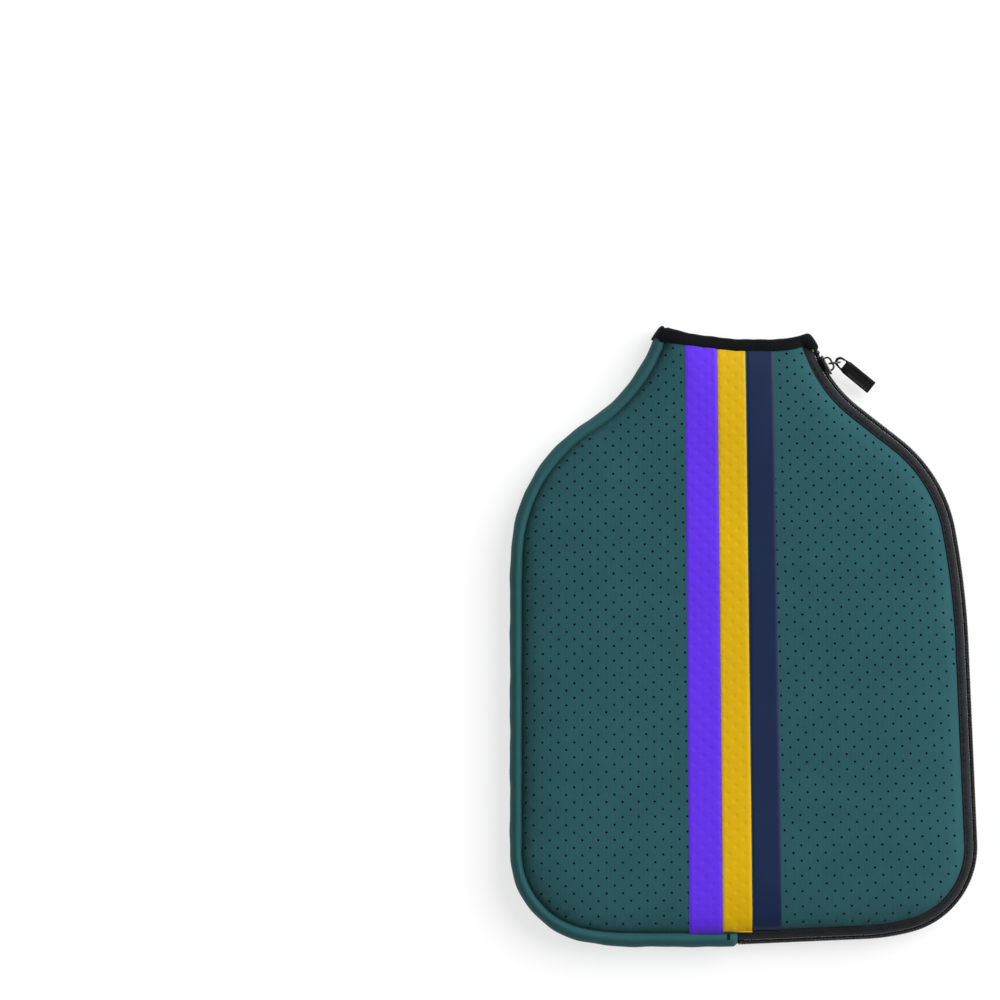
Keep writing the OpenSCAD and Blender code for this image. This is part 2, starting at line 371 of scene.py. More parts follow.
def bumped(tree, shader, heights, distance, strength):
    """Adds the height outputs up and feeds them to the shader as a bump."""
    total = heights[0]
    for extra in heights[1:]:
        both = add(tree, "ShaderNodeMath", operation="ADD")
        tree.links.new(total, both.inputs[0])
        tree.links.new(extra, both.inputs[1])
        total = both.outputs[0]
    bump = add(tree, "ShaderNodeBump", Distance=distance, Strength=strength)
    tree.links.new(total, bump.inputs["Height"])
    tree.links.new(bump.outputs["Normal"], shader.inputs["Normal"])


def wave(tree, coords, period, direction, distort=1.0):
    """Parallel ribs of that period in metres."""
    node = add(tree, "ShaderNodeTexWave", wave_type="BANDS", bands_direction=direction,
               Scale=2 * math.pi / (20 * period), Distortion=distort, Detail=2.0)
    node.inputs["Detail Scale"].default_value = 2.0
    tree.links.new(coords, node.inputs["Vector"])
    return node.outputs["Fac"]


def grain(tree, coords, size, detail=3.0):
    node = add(tree, "ShaderNodeTexNoise", Scale=1 / size, Detail=detail)
    tree.links.new(coords, node.inputs["Vector"])
    return node.outputs["Fac"]


def knit_cloth(name, colour, spread, stitch, rough, sheen, strength=0.5):
    """Fine knit: wales and courses of that stitch size."""
    material, tree, shader, coords = surface(name, colour, 0.018, spread, Roughness=rough, Sheen_Weight=sheen,
                                             Sheen_Roughness=0.45, Specular_IOR_Level=0.1)
    heights = [wave(tree, coords, stitch, "X", 1.5), wave(tree, coords, stitch * 0.8, "Y", 1.5),
               grain(tree, coords, 0.0007)]
    bumped(tree, shader, heights, 0.00012, strength)
    return material


def film(name, colour, spread, rough):
    """Soft coated film with a fine grain."""
    material, tree, shader, coords = surface(name, colour, 0.03, spread, 6.0, Roughness=rough,
                                             Specular_IOR_Level=0.16)
    bumped(tree, shader, [grain(tree, coords, 0.0006, 5.0), grain(tree, coords, 0.004)], 0.0001, 0.35)
    return material


def woven(name, colour, thread):
    """Twill tape: diagonal ribs crossed by finer ones."""
    material, tree, shader, coords = surface(name, colour, 0.006, 0.22, Roughness=0.8, Sheen_Weight=0.04,
                                             Specular_IOR_Level=0.1)
    heights = [wave(tree, coords, thread, "DIAGONAL", 0.6), wave(tree, coords, thread * 0.7, "X", 0.8),
               wave(tree, coords, thread * 0.7, "Z", 0.8)]
    bumped(tree, shader, heights, 0.00018, 0.7)
    return material


def moulded(name, colour, rough, coat=0.0, pitted=0.00008, shine=0.5):
    """Moulded nylon, rubber or enamel with slight unevenness."""
    material, tree, shader, coords = surface(name, colour, 0.004, 0.15, Roughness=rough, Coat_Weight=coat,
                                             Coat_Roughness=0.15, Specular_IOR_Level=shine)
    bumped(tree, shader, [grain(tree, coords, 0.0008, 4.0)], pitted, 0.4)
    return material


TEAL = knit_cloth("panel_neoprene", srgb(40, 84, 89), 0.06, 0.0006, 0.8, 0.03)
BAND_TEAL = knit_cloth("band_neoprene", srgb(42, 87, 91), 0.05, 0.0006, 0.8, 0.05)
PIT = knit_cloth("cut_foam", srgb(11, 32, 37), 0.2, 0.0004, 0.95, 0.0)
LINING = knit_cloth("lining_cloth", srgb(38, 40, 44), 0.1, 0.0009, 0.85, 0.2)
PURPLE = film("purple_stripe", srgb(93, 46, 222), 0.05, 0.5)
YELLOW = film("yellow_stripe", srgb(206, 165, 0), 0.05, 0.48)
NAVY = film("navy_stripe", srgb(20, 36, 68), 0.08, 0.42)
BINDING = knit_cloth("binding_knit", srgb(13, 14, 18), 0.3, 0.0011, 0.85, 0.05, 0.9)
TAPE = woven("zip_tape", srgb(34, 36, 39), 0.0007)
NYLON = moulded("zip_coil", srgb(14, 15, 17), 0.38)
ENAMEL = moulded("slider_enamel", srgb(10, 10, 12), 0.25, 0.8)
RUBBER = moulded("pull_rubber", srgb(8, 8, 10), 0.5, 0.0, 0.00012, 0.15)
THREAD = woven("thread", srgb(20, 30, 33), 0.0004)

# ---------------------------------------------------------------- the front panel's swell

PANEL_LOOP_DROP = 1.0
CROWN_H = 6.4
RIM_Z = 15.7
RIM_RISE = FACE_Z - RIM_Z
RIM_ROLL = 7.5


def crown_mesh():
    """A coarse sheet held round the panel's outline and blown up by cloth simulation."""
    loop = outline(0, PANEL_LOOP_DROP, 5.0)
    inner = grid_points(loop, 6.0, 2.5)
    co, tris, rim, _ = triangulate(loop, [], inner)
    sheet = make("crown", np.c_[co, np.zeros(len(co))], tris, TEAL)
    group = sheet.vertex_groups.new(name="rim")
    group.add(rim, 1.0, "REPLACE")
    cloth = sheet.modifiers.new("Cloth", "CLOTH")
    cloth.settings.quality = 6
    cloth.settings.mass = 0.2
    cloth.settings.tension_stiffness = 12
    cloth.settings.compression_stiffness = 12
    cloth.settings.bending_stiffness = 2
    cloth.settings.vertex_group_mass = "rim"
    cloth.settings.use_pressure = True
    cloth.settings.uniform_pressure_force = 3.0
    cloth.settings.effector_weights.gravity = 0
    scene = bpy.context.scene
    for frame_number in range(1, 21):
        scene.frame_set(frame_number)
    done = sheet.evaluated_get(bpy.context.evaluated_depsgraph_get()).to_mesh()
    moved = np.array([v.co for v in done.vertices]) / MM
    scene.frame_set(1)
    bpy.data.objects.remove(sheet)
    return moved, tris


def crown_grid():
    """The swell's height on a regular grid, from 0 at the rim to 1 at the highest place."""
    loop = outline(0, PANEL_LOOP_DROP, 3.0)
    low, high = loop.min(0) - 4, loop.max(0) + 4
    xs, ys = np.arange(low[0], high[0], GRID_STEP), np.arange(low[1], high[1], GRID_STEP)
    gx, gy = np.meshgrid(xs, ys)
    flat = np.stack([gx.ravel(), gy.ravel()], 1)
    far_in = np.where(inside(flat, loop), edge_distance(flat, loop), 0.0)
    smooth = 0.72 * (1 - np.exp(-far_in / 11)) + 0.28 * (1 - np.exp(-far_in / 45))
    moved, tris = crown_mesh()
    moved[:, 2] *= np.sign(moved[:, 2].mean())
    tree = BVHTree.FromPolygons([Vector(v) for v in moved], [tuple(t) for t in tris])
    height = np.zeros(len(flat))
    for i, p in enumerate(flat):
        hit = tree.ray_cast(Vector((p[0], p[1], 500)), Vector((0, 0, -1)))[0]
        height[i] = hit.z if hit else 0.0
    height /= height.max()
    # The middle of a real panel stays flatter than a blown sheet's
    height = 0.35 * np.tanh(2.0 * height) / math.tanh(2.0) + 0.65 * smooth / smooth.max()
    grid = (height / height.max()).reshape(gx.shape)
    for _ in range(6):
        grid[1:-1, 1:-1] = (grid[1:-1, 1:-1] * 2 + grid[:-2, 1:-1] + grid[2:, 1:-1]
                            + grid[1:-1, :-2] + grid[1:-1, 2:]) / 6
    return low, grid


GRID_STEP = 2.0
GRID_LOW, GRID = crown_grid()
PANEL_LOOP = outline(0, PANEL_LOOP_DROP, 1.8)


def swell(points):
    """Height of the swell at each point, by bilinear interpolation."""
    at = (points - GRID_LOW) / GRID_STEP
    i = np.clip(at.astype(int), 0, np.array(GRID.shape[::-1]) - 2)
    f = np.clip(at - i, 0, 1)
    row, col = i[:, 1], i[:, 0]
    return CROWN_H * ((1 - f[:, 1]) * ((1 - f[:, 0]) * GRID[row, col] + f[:, 0] * GRID[row, col + 1])
                      + f[:, 1] * ((1 - f[:, 0]) * GRID[row + 1, col] + f[:, 0] * GRID[row + 1, col + 1]))


def roll(points, reach):
    """From 0 at the side seams to 1 at that reach inside them, on a quarter of an ellipse."""
    return np.sqrt(1 - (1 - np.clip(side_distance(points) / reach, 0, 1)) ** 2)


# Slight hollows of a soft panel: x, y, radius and depth
DENTS = ((64, 52, 24, 0.9), (-62, 20, 34, 0.35), (30, -60, 40, 0.3), (-45, -85, 28, 0.3))


def dents(points):
    total = np.zeros(len(points))
    for x, y, r, depth in DENTS:
        total += depth * np.exp(-np.sum((points - (x, y)) ** 2, 1) / r ** 2)
    return total


def front_face(points):
    """Height of the front panel's outer face: it rolls up from the seams, then swells."""
    return RIM_Z + RIM_RISE * roll(points, RIM_ROLL) + swell(points) - dents(points)


# ---------------------------------------------------------------- panels

HOLE_R = 0.6
HOLE_PITCH_X = 7.4
HOLE_PITCH_FOOT = 7.3
HOLE_PITCH_HEAD = 6.4
HOLE_SIDES = 10
HOLE_DEPTH = 1.5
UNDER_SPACING = 3.0
# The rows of holes close up towards the neck, lean to the left as they rise, and rise to the right
HOLE_FAN = 0.0003
HOLE_LEAN = 0.022
HOLE_RISE = 0.012
CASE_LENGTH = 292
# Each stripe's left edge and width at the neck, and how far it has moved to the right at the foot
STRIPES = ((-27.8, 15.0, 2.0), (-12.6, 13.1, 2.7), (1.1, 12.7, 3.3))
STRIPE_SPREAD = 0.7
STRIPE_HEAD_Y = 140
STRIPE_LENGTH = 279


def stripe_left(number, y):
    """The left edge of a stripe at height y, and its width there."""
    part = (STRIPE_HEAD_Y - y) / STRIPE_LENGTH
    left, width, shift = STRIPES[number]
    return left + part * shift, width + STRIPE_SPREAD * part


def hole_centres():
    """Staggered rows, a little closer near the neck, and leaning slightly."""
    out = []
    y = FOOT_Y + 1
    row = 0
    while y < 150:
        part = (y - FOOT_Y) / CASE_LENGTH
        x = -120 + (row % 2) * HOLE_PITCH_X / 2
        while x < 120:
            out.append((x * (1 - HOLE_FAN * y) - HOLE_LEAN * (y + 20), y + HOLE_RISE * x))
            x += HOLE_PITCH_X
        y += (HOLE_PITCH_FOOT + (HOLE_PITCH_HEAD - HOLE_PITCH_FOOT) * part) / 2
        row += 1
    return np.array(out)


def under_stripes(points, margin):
    """True where the three stripes together cover a point, by that margin."""
    first, (last, width) = stripe_left(0, points[:, 1])[0], stripe_left(2, points[:, 1])
    return (points[:, 0] > first + margin) & (points[:, 0] < last + width - margin)


def plate(name, loop, spacing, top, bottom, material, holes=(), pit_sign=-1.0):
    """A closed panel between two height functions. Holes are pits that sink from the top face."""
    turn = np.linspace(0, 2 * math.pi, HOLE_SIDES, endpoint=False)
    ring = np.stack([np.cos(turn), np.sin(turn)], 1)
    inner = grid_points(loop, spacing, spacing * 0.5, holes, HOLE_R + spacing * 0.35)
    co, tris, rim, ring_ids = triangulate(loop, [c + HOLE_R * ring for c in holes], inner)
    verts = [np.c_[co, top(co)]]
    faces = [tuple(t) for t in tris]
    dark = []
    count = len(co)
    for centre, ids in zip(holes, ring_ids):
        z = verts[0][ids, 2]
        for shrink, depth in ((0.86, 0.18), (0.8, HOLE_DEPTH)):
            verts.append(np.c_[centre + HOLE_R * shrink * ring, z + pit_sign * depth])
        first, second = np.arange(2 * HOLE_SIDES).reshape(2, -1) + count
        for k in range(HOLE_SIDES):
            n = (k + 1) % HOLE_SIDES
            faces.append((ids[k], ids[n], first[n], first[k]))
            dark.append(len(faces))
            faces.append((first[k], first[n], second[n], second[k]))
        dark.append(len(faces))
        faces.append(tuple(second))
        count += 2 * HOLE_SIDES
    under, low_tris, low_rim, _ = triangulate(loop, [], grid_points(loop, UNDER_SPACING, 1.0))
    verts.append(np.c_[under, bottom(under)])
    faces += [tuple(int(i) + count for i in reversed(t)) for t in low_tris]
    for k in range(len(loop)):
        n = (k + 1) % len(loop)
        faces.append((rim[k], low_rim[k] + count, low_rim[n] + count, rim[n]))
    obj = make(name, np.concatenate(verts), faces, material)
    if dark:
        obj.data.materials.append(PIT)
    for i in dark:
        obj.data.polygons[i].material_index = 1
    return obj


def fold(obj):
    """Bakes the piece's placement into its mesh and leaves it without a body."""
    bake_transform(obj)
    return obj


def finish_piece(obj, body, slot, *nodes):
    """Places the piece: body is a body's name, or None for a piece that folds, which is left without a body.
    """
    if body is None:
        fold(obj)
    else:
        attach(obj, body)
    if nodes:
        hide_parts(*nodes)
    return obj


def panel_holes(side, clear_edge):
    """The holes that lie inside the panel, clear of its edge and of the binding; side -1 mirrors them."""
    holes = hole_centres() * np.array([side, 1])
    holes = holes[inside(holes, PANEL_LOOP)]
    holes = holes[edge_distance(holes, PANEL_LOOP) > clear_edge]
    return holes[holes[:, 1] < neck_y(holes[:, 0], BINDING_W + 0.4)]


def front_panel():
    holes = panel_holes(1, 1.3)
    holes = holes[~under_stripes(holes, 0.35)]
    obj = plate("front_panel", PANEL_LOOP, 2.6, front_face, lambda p: front_face(p) - PANEL_T, TEAL, holes)
    return finish_piece(obj, None, "panel_neoprene", "front_panel_left", "front_panel_flap")


def back_face(points):
    """The back panel lies flat; only its rim curls up to the seam."""
    return 2.1 * (1 - roll(points, 4.0))


def back_panel():
    holes = panel_holes(-1, 1.6)
    obj = plate("back_panel_skin", PANEL_LOOP, 3.0, back_face, lambda p: back_face(p) + PANEL_T, TEAL, holes,
                pit_sign=1.0)
    return finish_piece(obj, "shell", "panel_neoprene", "back_panel")


def linings():
    loop = outline(0.8, BINDING_W - 0.5, 2.5)
    # Its lower side is the one seen, so that side has the finer mesh
    front = plate("front_lining", loop, 1.8, lambda p: front_face(p) - PANEL_T - 0.6,
                  lambda p: front_face(p) - PANEL_T - 0.1, LINING)
    finish_piece(front, None, "lining_cloth", "front_lining_left", "front_lining_flap")
    back = plate("back_lining_cloth", loop, 4.0, lambda p: back_face(p) + PANEL_T + 0.6,
                 lambda p: back_face(p) + PANEL_T + 0.1, LINING)
    finish_piece(back, "shell", "lining_cloth", "back_lining")


# ---------------------------------------------------------------- stripes

FILM_T = 0.38
DIMPLE = 0.36


def stripe(name, number, material, foot, slot, nodes, dimples):
    """A strip of film laid over the panel; where dimples is true, the holes below show in it."""
    step, far_end = 0.75, 142
    rows = np.arange(foot, far_end, step)
    across = np.linspace(0, 1, 19)
    middle = len(across) // 2
    left, width = stripe_left(number, rows)
    x = left[:, None] + across[None] * width[:, None]
    head = neck_y(x, BINDING_W - 1.5)
    y = rows[:, None] + np.zeros_like(x)
    y = foot + (y - foot) * (head - foot) / (far_end - foot + step)
    flat = np.stack([x.ravel(), y.ravel()], 1)
    base = front_face(flat).reshape(x.shape)
    edge = np.minimum(across, 1 - across) * STRIPES[number][1]
    # The film's edges are rounded: along its sides over 0.45 mm, and at its foot over 0.6 mm
    lift = np.sqrt(np.clip(edge / 0.45, 0, 1))[None] * np.sqrt(np.clip((y - foot + 0.05) / 0.6, 0, 1))
    top = base + 0.02 + FILM_T * lift
    if dimples:
        holes = hole_centres()
        for centre in holes[under_stripes(holes, 0.7)]:
            rows_near = np.nonzero(np.abs(y[:, middle] - centre[1]) < 2.4)[0]
            if not len(rows_near):
                continue
            part = slice(rows_near[0], rows_near[-1] + 1)
            gap = (x[part] - centre[0]) ** 2 + (y[part] - centre[1]) ** 2
            top[part] -= DIMPLE * np.exp(-gap / 0.45)
        top = np.maximum(top, base + 0.07)
    skins = np.stack([x, y, top], 2), np.stack([x, y, base - 0.1], 2)[:, ::-1]
    obj = sweep(name, np.concatenate(skins, 1), material)
    return finish_piece(obj, None, slot, *nodes)


def stripes():
    stripe("purple_stripe", 0, PURPLE, -139.6, "purple_stripe",
           ("purple_stripe_left", "purple_stripe_flap"), True)
    stripe("yellow_stripe", 1, YELLOW, -139.0, "yellow_stripe",
           ("yellow_stripe_left", "yellow_stripe_flap"), True)
    stripe("navy_film", 2, NAVY, -138.0, "navy_stripe", ("navy_stripe",), False)


# ---------------------------------------------------------------- side band

BAND_RISE = 8.1
BAND_T = 2.3


def band_top(d, half):
    """How far the band's section rises over its middle, at d in from its outer edge."""
    return BAND_RISE * np.sqrt(np.clip(1 - ((half - d) / half) ** 2, 0, 1))


def band():
    """The band's bulged strip, swept along the left edge, with a turned-in end over the zip."""
    path = band_path(1.6)
    path = path[path[:, 1] < neck_y(path[:, 0], 3.5)]
    turn = np.radians(np.linspace(-138, 138, 25))
    z_out, z_in = MID_Z + BAND_RISE * np.sin(turn), MID_Z + (BAND_RISE - BAND_T) * np.sin(turn)
    profiles = []
    for s, half, station in zip(lengths(path), band_half(path), path):
        d_out, d_in = half - half * np.cos(turn), half - (half - BAND_T) * np.cos(turn)
        # The end is turned in, so its corners are round
        pinch = 1.5 * (1 - math.sqrt(max(0.0, 1 - max(0.0, 1 - s / 2.4) ** 2)))
        wave_d = 0.12 * math.sin(s * 0.21) + 0.08 * math.sin(s * 0.47 + 1)
        squeeze = 1 - pinch / 9
        d = np.concatenate([d_out + pinch + wave_d * np.cos(turn), (d_in + 0.2 * pinch)[::-1]])
        z = MID_Z + (np.concatenate([z_out, z_in[::-1]]) - MID_Z) * squeeze
        profiles.append(along(station[None], -d, z)[0])
    obj = sweep("side_band_skin", profiles, BAND_TEAL)
    finish_piece(obj, "shell", "band_neoprene", "side_band")


def folded_end():
    """The end of the band, turned back inside itself over the zip's lower end."""
    path = band_path(1.0)[:9]
    turn = np.radians(np.linspace(-80, 80, 13))
    d = 3.3 - 0.8 * np.cos(turn)
    rise = 5.5 * np.sin(turn)
    profiles = [along(p[None], -np.concatenate([d, (d + 1.6)[::-1]]),
                      MID_Z + np.concatenate([rise, rise[::-1] * 0.9]))[0] for p in path]
    obj = sweep("band_turned_end", profiles, BAND_TEAL)
    finish_piece(obj, "shell", "band_neoprene", "band_folded_end")


STITCH_PITCH = 3.1
STITCH_LENGTH = 2.5
STITCH_INSET = 5.0
THREAD_R = 0.24


def stitch_row(name, height, body):
    """Short threads at that height along the zip's tape, each sunk at both ends."""
    path = zip_stations(1.0, 6.0, BINDING_W + 4)[0]
    steps = lengths(path)
    verts, faces = [], []
    sides, rings = 6, 6
    for k in range(int(steps[-1] / STITCH_PITCH)):
        at = (k + 0.5) * STITCH_PITCH
        s = np.linspace(at - STITCH_LENGTH / 2, at + STITCH_LENGTH / 2, rings)
        line = along(stations_at(s, steps, path), np.full((1, 1), STITCH_INSET), np.zeros((1, 1)))[:, 0]
        line[:, 2] = height + THREAD_R * (1.1 * np.sin(np.linspace(0, math.pi, rings)) - 0.7)
        skin = tube(line, THREAD_R, sides)
        for end in (0, -1):
            skin[end] = skin[end].mean(0) + 0.35 * (skin[end] - skin[end].mean(0))
        first = len(verts) * rings * sides
        verts.append(skin.reshape(-1, 3))
        faces += tube_faces(rings, sides, first) + end_faces(rings, sides, first)
    finish_piece(make(name, np.concatenate(verts), faces, THREAD), body, "thread")


def bar_tack():
    """Four close stitches across the band near its end."""
    parts = []
    half = band_half(band_path(1.0))[0]
    for k in range(4):
        x = JOIN_X - 3.6 - 0.35 * k
        line = [(x, FOOT_Y + d, MID_Z + 0.05 + band_top(d, half)) for d in np.linspace(3.6, 6.3, 8)]
        parts.append(sweep(f"tack_{k}", tube(line, 0.2, 6), THREAD))
    finish_piece(joined("bar_tack", parts), "shell", "thread", "band_bar_tack")


def joined(name, parts):
    """One object from several meshes."""
    for o in bpy.context.selected_objects:
        o.select_set(False)
    for o in parts:
        o.select_set(True)
    bpy.context.view_layer.objects.active = parts[0]
    bpy.ops.object.join()
    parts[0].name = name
    parts[0].data.name = name
    parts[0].select_set(False)
    return parts[0]


# ---------------------------------------------------------------- zip

COIL_PITCH = 1.55
SLIDER_REST = 13.5


def open_part(from_neck):
    """How far the two rows stand apart, from the closed part below the slider to the neck."""
    t = np.clip((SLIDER_REST - 2 - from_neck) / 9, 0, 1)
    return 1.1 * t * t * (3 - 2 * t)


def zip_stations(step, start=1.5, below=BINDING_W - 0.6):
    """Places along the zip's edge from start, counted from the join, to the given distance below the rim."""
    path = zip_path(step)
    steps = lengths(path)
    keep = (path[:, 1] < neck_y(path[:, 0], below)) & (steps > start)
    return path[keep], steps[keep], steps[-1]


def tape(name, sign, body, node):
    """The woven tape rolls from under the panel's edge over to the teeth. sign is +1 in front, -1 behind."""
    path, steps, total = zip_stations(1.6, -1, 2.2)
    turn = np.radians(np.linspace(0, 90, 15))
    d = np.concatenate([[8.4, 7.6, 6.9], 6.1 - 3.9 * np.sin(turn)])
    rise = np.concatenate([[4.6, 5.0, 5.9], 0.95 + 5.9 * np.cos(turn) ** 0.75])
    # A shallow groove along the middle, where the tape is stitched
    rise[4:8] -= np.array([0.1, 0.28, 0.28, 0.1])
    profiles = []
    for s, station in zip(steps, path):
        # The front tape lies flatter towards the neck, so that more of it shows
        wide = 1 + (0.5 * np.clip((s - total + 24) / 24, 0, 1) if sign > 0 else 0)
        dd = 2.1 + (d - 2.1) * wide
        up = rise + open_part(total - s) * np.linspace(0.2, 1, len(rise))
        inner_d, inner_up = dd + 0.55 * np.linspace(0, 1, len(d)), up - 0.55 * np.linspace(1, 0.1, len(d))
        z = MID_Z + sign * np.concatenate([up, inner_up[::-1]])
        profiles.append(along(station[None], np.concatenate([dd, inner_d[::-1]]), z)[0])
    obj = sweep(name, profiles, TAPE)
    finish_piece(obj, body, "zip_tape", node)


def coil(name, sign, body, node):
    """The nylon coil: one wire wound along the edge, its loops the zip's teeth."""
    path, steps, total = zip_stations(0.8, 0.2)
    turns = (steps[-1] - steps[0]) / COIL_PITCH
    per_turn = 12
    s = np.linspace(steps[0], steps[-1], int(turns * per_turn))
    angle = (s - steps[0]) / COIL_PITCH * 2 * math.pi + (0 if sign > 0 else math.pi)
    d = 1.12 - 0.82 * np.cos(angle)
    line = along(stations_at(s, steps, path), d[:, None], np.zeros((1, 1)))[:, 0]
    line[:, 2] = MID_Z + sign * (0.82 + open_part(total - s)) + 0.62 * np.sin(angle)
    obj = sweep(name, tube(line, 0.31, 6), NYLON)
    finish_piece(obj, body, "zip_coil", node)


def core_cord(name, sign, body):
    """The cord that the loops are sewn down to, seen between them."""
    path, steps, total = zip_stations(2.0, 0.2)
    line = along(path, np.full((1, 1), 1.5), np.zeros((1, 1)))[:, 0]
    line[:, 2] = MID_Z + sign * (0.95 + open_part(total - steps))
    obj = sweep(name, tube(line, 0.4, 8), TAPE)
    finish_piece(obj, body, "zip_tape")


def bead(name, stations, d, z, half_wide, half_high, body, node):
    """A moulded lump along a few stations, round at both ends. z has one value per station."""
    size = np.sin(np.linspace(0.25, math.pi - 0.25, len(stations))) ** 0.4
    turn = np.linspace(0, 2 * math.pi, 14, endpoint=False)
    profiles = [along(p[None], d + half_wide * k * np.cos(turn), height + half_high * k * np.sin(turn))[0]
                for p, k, height in zip(stations, size, z)]
    finish_piece(sweep(name, profiles, NYLON), body, "zip_coil", node)


def stops():
    """Two moulded top stops above the slider, and the bottom stop by the band's end."""
    path, steps, total = zip_stations(0.5, 1.0)
    s = np.linspace(total - SLIDER_REST + 6.0, total - SLIDER_REST + 8.2, 7)
    top = stations_at(s, steps, path)
    for name, sign, body, node in (("top_stop_upper", 1, "flap", "top_stop_front"),
                                   ("top_stop_lower", -1, "shell", "top_stop_back")):
        bead(name, top, 1.0, MID_Z + sign * (1.15 + open_part(total - s)), 1.45, 1.2, body, node)
    path = zip_path(0.5)
    low = stations_at(np.linspace(0.1, 3.0, 7), lengths(path), path)
    bead("bottom_stop_clip", low, 1.5, np.full(7, MID_Z), 1.4, 2.6, "shell", "bottom_stop")


def zip_all():
    tape("zip_tape_upper", 1, "flap", "zip_tape_front")
    tape("zip_tape_lower", -1, "shell", "zip_tape_back")
    coil("zip_coil_upper", 1, "flap", "zip_coil_front")
    coil("zip_coil_lower", -1, "shell", "zip_coil_back")
    core_cord("zip_cord_upper", 1, "flap")
    core_cord("zip_cord_lower", -1, "shell")
    stops()
    stitch_row("tape_stitches_front", MID_Z + 6.4, "flap")
    stitch_row("tape_stitches_back", MID_Z - 6.4, "shell")


# ---------------------------------------------------------------- neck binding

BINDING_HALF = 2.15
# The case lies on its back, so the strip's back half is pressed up from the table
BACK_LIFT = 0.9


def face_height(face, points):
    """Middle height of what the binding grips: a panel, or the band's side. face is 1 in front, -1 behind."""
    path = band_path(1.5)
    near = np.array([np.min(np.linalg.norm(path[:, :2] - p, axis=1)) for p in points])
    band_z = np.where(near < BAND_SHOW + 0.3, MID_Z + face * band_top(near, band_half(path)[-1]), MID_Z)
    if face > 0:
        return np.maximum(front_face(points), band_z) - PANEL_T / 2
    return np.minimum(back_face(points), band_z) + PANEL_T / 2 + BACK_LIFT


# How much wider the strip is by its left end
HORN_EXTRA = 1.5
# Across the binding: how far in from the rim, as a share of its width, and the side and fullness of the fold
FOLD = ((1, 0.92), (0.93, 1.06), (0.55, 1.1), (0.28, 1.03), (0.13, 0.86), (0.03, 0.5), (0, 0), (0.03, -0.5),
        (0.13, -0.86), (0.28, -1), (0.55, -1.04), (0.93, -1.02), (1, -0.92))


def folded(t, n):
    """The strip's outer skin and, going back, its inner one."""
    return list(zip(t, n)) + [(0.12 + 0.88 * u, 0.62 * m) for u, m in zip(t[::-1], n[::-1])]


STRIP = folded(*zip(*FOLD))


def rim_profile(face, place, down, lip, half, drop):
    """A strip folded over the rim at place, half thick on each side, and lowered by drop from the panel."""
    flat = np.array([place + t * lip * down for t, _ in STRIP])
    over = np.array([place + max(t, 0.25) * lip * down for t, _ in STRIP])
    z = face_height(face, over) - face * drop + np.array([face * half * n for _, n in STRIP])
    return np.c_[flat, z]


def round_profile(place, down, normal, lip, half, taper):
    """The same strip where it turns away from the panel. taper makes it thinner towards the rim."""
    return np.array([place + t * lip * down + half * n * (1 - taper * (1 - t)) * normal for t, n in STRIP])


def right_horn(face):
    """The strip's right end, folded down over the zip's end: it fans round the lower corner of the strip."""
    pivot = np.array([27.4, 136.2])
    edge = np.array([[34.9, 135.2], [35.1, 136.6], [34.3, 138.2], [33.3, 139.8],
                     [32.2, 141.3], [31.2, 142.3], [30.0, 142.7], [28.8, 142.5]])
    out = []
    for k, at in enumerate(edge):
        low = 1 - k / (len(edge) - 1)
        lip = np.linalg.norm(pivot - at)
        drop = (2.6 if face > 0 else 2.9) * low
        out.append(rim_profile(face, at, (pivot - at) / lip, lip, BINDING_HALF + 1.0 * low, drop))
    return out


def rim_strip(face):
    """Profiles of the binding along half of the neck's rim, from its right end to the band's middle."""
    out = right_horn(face)
    for x in np.linspace(26.6, -35.5, 40):
        slope = (x - neck_centre[0]) / NECK_R
        down = np.array([slope, -math.sqrt(1 - slope * slope)])
        lift = 0.9 * math.exp(-((x - 28.5) / 3.0) ** 2) + 0.3 * math.exp(-((x + 37) / 4.0) ** 2)
        wave_d = 0.12 * math.sin(x * 0.33) + 0.08 * math.sin(x * 0.81 + 1)
        place = np.array([x, float(neck_y(np.array(x))) + lift + wave_d])
        wide = BINDING_W + HORN_EXTRA * math.exp(-((x + 37) / 8.0) ** 2)
        out.append(rim_profile(face, place, down, wide, BINDING_HALF, 0))
    # Round the side band's end, on the same half ellipse as the band
    path = band_path(0.5)
    end = path[path[:, 1] < neck_y(path[:, 0], -0.4)][-1]
    way = np.array([math.cos(math.radians(end[2])), math.sin(math.radians(end[2])), 0])
    outward = np.array([-way[1], way[0], 0])
    half = band_half(path)[-1]
    centre = np.array([end[0], end[1], MID_Z]) - half * outward
    for k in range(11):
        a = math.radians(90 * k / 10)
        normal = math.sin(a) * outward + np.array([0, 0, face * math.cos(a)])
        place = centre + (half - 1.2) * math.sin(a) * outward + np.array([0, 0, face * 6.3 * math.cos(a)])
        place += (0.6 * math.cos(a) ** 2 + 1.2 * math.sin(2 * a) - 0.8 * math.sin(a) ** 2) * way
        lip = BINDING_W + HORN_EXTRA - 1.3 * math.sin(a)
        thick = BINDING_HALF + 0.2 * math.sin(a)
        out.append(round_profile(place, -way, normal, lip, thick, 0.75 * math.sin(a)))
    return out


def bindings():
    front, back = rim_strip(1.0), rim_strip(-1.0)
    upper = sweep("neck_binding_upper", front, BINDING)
    finish_piece(upper, None, "binding_knit", "neck_binding_front")
    lower = sweep("neck_binding_lower", back, BINDING)
    finish_piece(lower, "shell", "binding_knit", "neck_binding_back")


# ---------------------------------------------------------------- slider and pull

def slider_frame():
    """The place on the zip edge under the slider, the way to the neck, and the way out."""
    path, steps, total = zip_stations(0.5, 0, -2)
    at = stations_at(np.array([total - SLIDER_REST]), steps, path)[0]
    a = math.radians(at[2])
    to_neck = np.array([math.cos(a), math.sin(a), 0])
    out = np.array([math.sin(a), -math.cos(a), 0])
    return np.array([at[0], at[1], MID_Z]), to_neck, out


